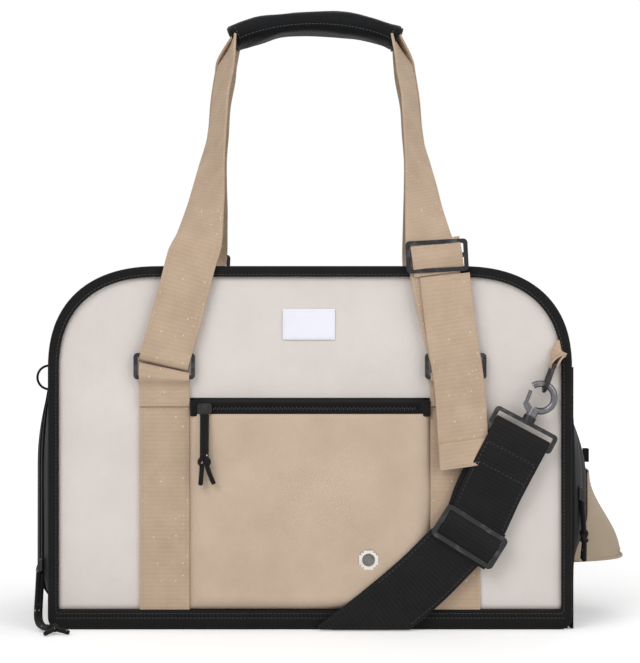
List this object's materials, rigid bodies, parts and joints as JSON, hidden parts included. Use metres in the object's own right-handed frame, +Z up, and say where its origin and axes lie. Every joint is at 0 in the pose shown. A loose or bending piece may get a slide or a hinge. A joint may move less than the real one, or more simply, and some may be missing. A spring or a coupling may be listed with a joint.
{
  "type": "pet carrier bag",
  "caption": "Soft-sided pet carrier bag with zip doors, front pocket, padded carrying grip and detachable shoulder strap.",
  "frame": {"origin": "centre of the base's underside, on the surface that the bag stands on", "axes": "+Z up, +X to the bag's right seen from the front, front face towards -Y"},
  "size_m": [0.524, 0.3205, 0.5395],
  "materials": {
    "black_binding": "woven polyester tape",
    "board": "stiff sheet",
    "fleece": "brushed pile",
    "cream_canvas": "coated canvas",
    "black_mesh": "open mesh",
    "black_fabric": "plain weave",
    "tan_canvas": "canvas",
    "flap_canvas": "canvas",
    "zip_tape": "coil zip tape",
    "nickel": "bright nickel plate",
    "tan_webbing": "ribbed cotton webbing",
    "label": "satin patch",
    "black_cord": "braided cord",
    "black_webbing": "ribbed webbing",
    "black_metal": "satin black plate",
    "gunmetal": "gunmetal plate",
    "grip_fabric": "padded wrap"
  },
  "bodies": {
    "bag": {"base_panel": "black_binding", "base_board": "board", "base_mat": "fleece", "front_panel": "cream_canvas", "back_panel": "cream_canvas", "front_binding": "black_binding", "back_binding": "black_binding", "top_panel": "black_binding", "left_end_frame": "black_fabric", "right_end_frame": "black_fabric", "front_pocket": "tan_canvas", "pocket_zip": "zip_tape", "pocket_grommet": "nickel", "front_webbing": "tan_webbing", "back_webbing": "tan_webbing", "label_patch": "label", "d_ring_tabs": "tan_webbing", "cord_loop": "black_cord", "shoulder_strap_front": "black_webbing", "shoulder_strap_under": "black_webbing", "shoulder_strap_back": "black_webbing", "front_hook_base": "black_metal", "back_hook_base": "black_metal", "handle_front_left": "tan_webbing", "handle_front_right": "tan_webbing", "handle_back_left": "tan_webbing", "handle_back_right": "tan_webbing", "front_tail": "tan_webbing", "back_tail": "tan_webbing"},
    "right_door": {"right_door": "black_mesh", "right_end_tab": "black_fabric"},
    "grip": {"grip": "grip_fabric"},
    "front_buckle": {"front_buckle": "black_metal"},
    "back_buckle": {"back_buckle": "black_metal"},
    "ring_front_left": {"ring_front_left": "black_metal"},
    "ring_front_right": {"ring_front_right": "black_metal"},
    "ring_back_left": {"ring_back_left": "black_metal"},
    "ring_back_right": {"ring_back_right": "black_metal"},
    "front_d_ring": {"front_d_ring": "black_metal"},
    "back_d_ring": {"back_d_ring": "black_metal"},
    "front_hook": {"front_hook": "gunmetal"},
    "back_hook": {"back_hook": "gunmetal"},
    "front_gate": {"front_gate": "gunmetal"},
    "back_gate": {"back_gate": "gunmetal"},
    "strap_adjuster": {"strap_adjuster": "black_metal"},
    "pocket_slider": {"pocket_slider": "black_metal"},
    "pocket_pull": {"pocket_pull": "black_cord"},
    "left_door": {"left_door": "black_mesh"},
    "left_door_slider": {"left_door_slider": "black_metal"},
    "left_door_pull": {"left_door_pull": "black_cord"},
    "end_flap": {"end_flap": "flap_canvas"},
    "right_door_slider": {"right_door_slider": "black_metal"},
    "right_door_pull": {"right_door_pull": "black_cord"}
  },
  "joints": [
    {"name": "grip_drop", "type": "slide", "parent": "bag", "child": "grip", "axis": [0, 0, -1], "range_m": [0, 0.12], "deforming": ["handle_front_left", "handle_front_right", "handle_back_left", "handle_back_right"]},
    {"name": "front_buckle_slide", "type": "slide", "parent": "bag", "child": "front_buckle", "axis": [-0.2756, 0, 0.9613], "range_m": [0, 0.02]},
    {"name": "back_buckle_slide", "type": "slide", "parent": "bag", "child": "back_buckle", "axis": [0.2756, 0, 0.9613], "range_m": [0, 0.02]},
    {"name": "ring_front_left_tilt", "type": "hinge", "parent": "bag", "child": "ring_front_left", "pos_m": [-0.122, -0.1347, 0.2116], "axis": [1, 0, 0], "range_deg": [-6, 6]},
    {"name": "ring_front_right_tilt", "type": "hinge", "parent": "bag", "child": "ring_front_right", "pos_m": [0.122, -0.1347, 0.2116], "axis": [1, 0, 0], "range_deg": [-6, 0]},
    {"name": "ring_back_left_tilt", "type": "hinge", "parent": "bag", "child": "ring_back_left", "pos_m": [-0.122, 0.1347, 0.2116], "axis": [1, 0, 0], "range_deg": [0, 6]},
    {"name": "ring_back_right_tilt", "type": "hinge", "parent": "bag", "child": "ring_back_right", "pos_m": [0.122, 0.1347, 0.2116], "axis": [1, 0, 0], "range_deg": [-6, 6]},
    {"name": "front_d_ring_swing", "type": "hinge", "parent": "bag", "child": "front_d_ring", "pos_m": [0.203, -0.141, 0.222], "axis": [0, 1, 0], "range_deg": [-5, 5]},
    {"name": "back_d_ring_swing", "type": "hinge", "parent": "bag", "child": "back_d_ring", "pos_m": [-0.203, 0.141, 0.222], "axis": [0, 1, 0], "range_deg": [-5, 5]},
    {"name": "front_hook_swivel", "type": "hinge", "parent": "bag", "child": "front_hook", "pos_m": [0.178, -0.141, 0.168], "axis": [0.4695, 0, 0.8829], "range_deg": [-12, 12]},
    {"name": "back_hook_swivel", "type": "hinge", "parent": "bag", "child": "back_hook", "pos_m": [-0.178, 0.141, 0.168], "axis": [-0.4695, 0, 0.8829], "range_deg": [-12, 12]},
    {"name": "front_gate_press", "type": "hinge", "parent": "front_hook", "child": "front_gate", "pos_m": [0.18038, -0.141, 0.18995], "axis": [0, 1, 0], "range_deg": [0, 18], "stiffness_Nm_per_rad": 0.01},
    {"name": "back_gate_press", "type": "hinge", "parent": "back_hook", "child": "back_gate", "pos_m": [-0.18038, 0.141, 0.18995], "axis": [0, -1, 0], "range_deg": [0, 18], "stiffness_Nm_per_rad": 0.01},
    {"name": "strap_adjuster_slide", "type": "slide", "parent": "bag", "child": "strap_adjuster", "axis": [0.5299, 0, 0.848], "range_m": [-0.02, 0.02]},
    {"name": "pocket_slider_slide", "type": "slide", "parent": "bag", "child": "pocket_slider", "axis": [1, 0, 0], "range_m": [0, 0.176]},
    {"name": "pocket_pull_swing", "type": "hinge", "parent": "pocket_slider", "child": "pocket_pull", "pos_m": [-0.088, -0.1422, 0.1807], "axis": [-1, 0, 0], "range_deg": [0, 80]},
    {"name": "left_door_open", "type": "hinge", "parent": "bag", "child": "left_door", "pos_m": [-0.2244, 0, 0.208], "axis": [0, 1, 0], "range_deg": [0, 90]},
    {"name": "left_door_slider_slide", "type": "slide", "parent": "bag", "child": "left_door_slider", "axis": [0, 0, 1], "range_m": [0, 0.1]},
    {"name": "left_door_pull_swing", "type": "hinge", "parent": "left_door_slider", "child": "left_door_pull", "pos_m": [-0.22925, -0.1133, 0.0445], "axis": [-1, 0, 0], "range_deg": [0, 70]},
    {"name": "right_door_open", "type": "hinge", "parent": "bag", "child": "right_door", "pos_m": [0.2224, 0, 0.208], "axis": [0, -1, 0], "range_deg": [0, 90]},
    {"name": "end_flap_lift", "type": "hinge", "parent": "right_door", "child": "end_flap", "pos_m": [0.25016, 0, 0.126], "axis": [0, -1, 0], "range_deg": [0, 90]},
    {"name": "right_door_slider_slide", "type": "slide", "parent": "bag", "child": "right_door_slider", "axis": [0, 0, 1], "range_m": [-0.02, 0.012]},
    {"name": "right_door_pull_swing", "type": "hinge", "parent": "right_door_slider", "child": "right_door_pull", "pos_m": [0.2329, -0.111, 0.1057], "axis": [0, -1, 0], "range_deg": [0, 80]}
  ]
}
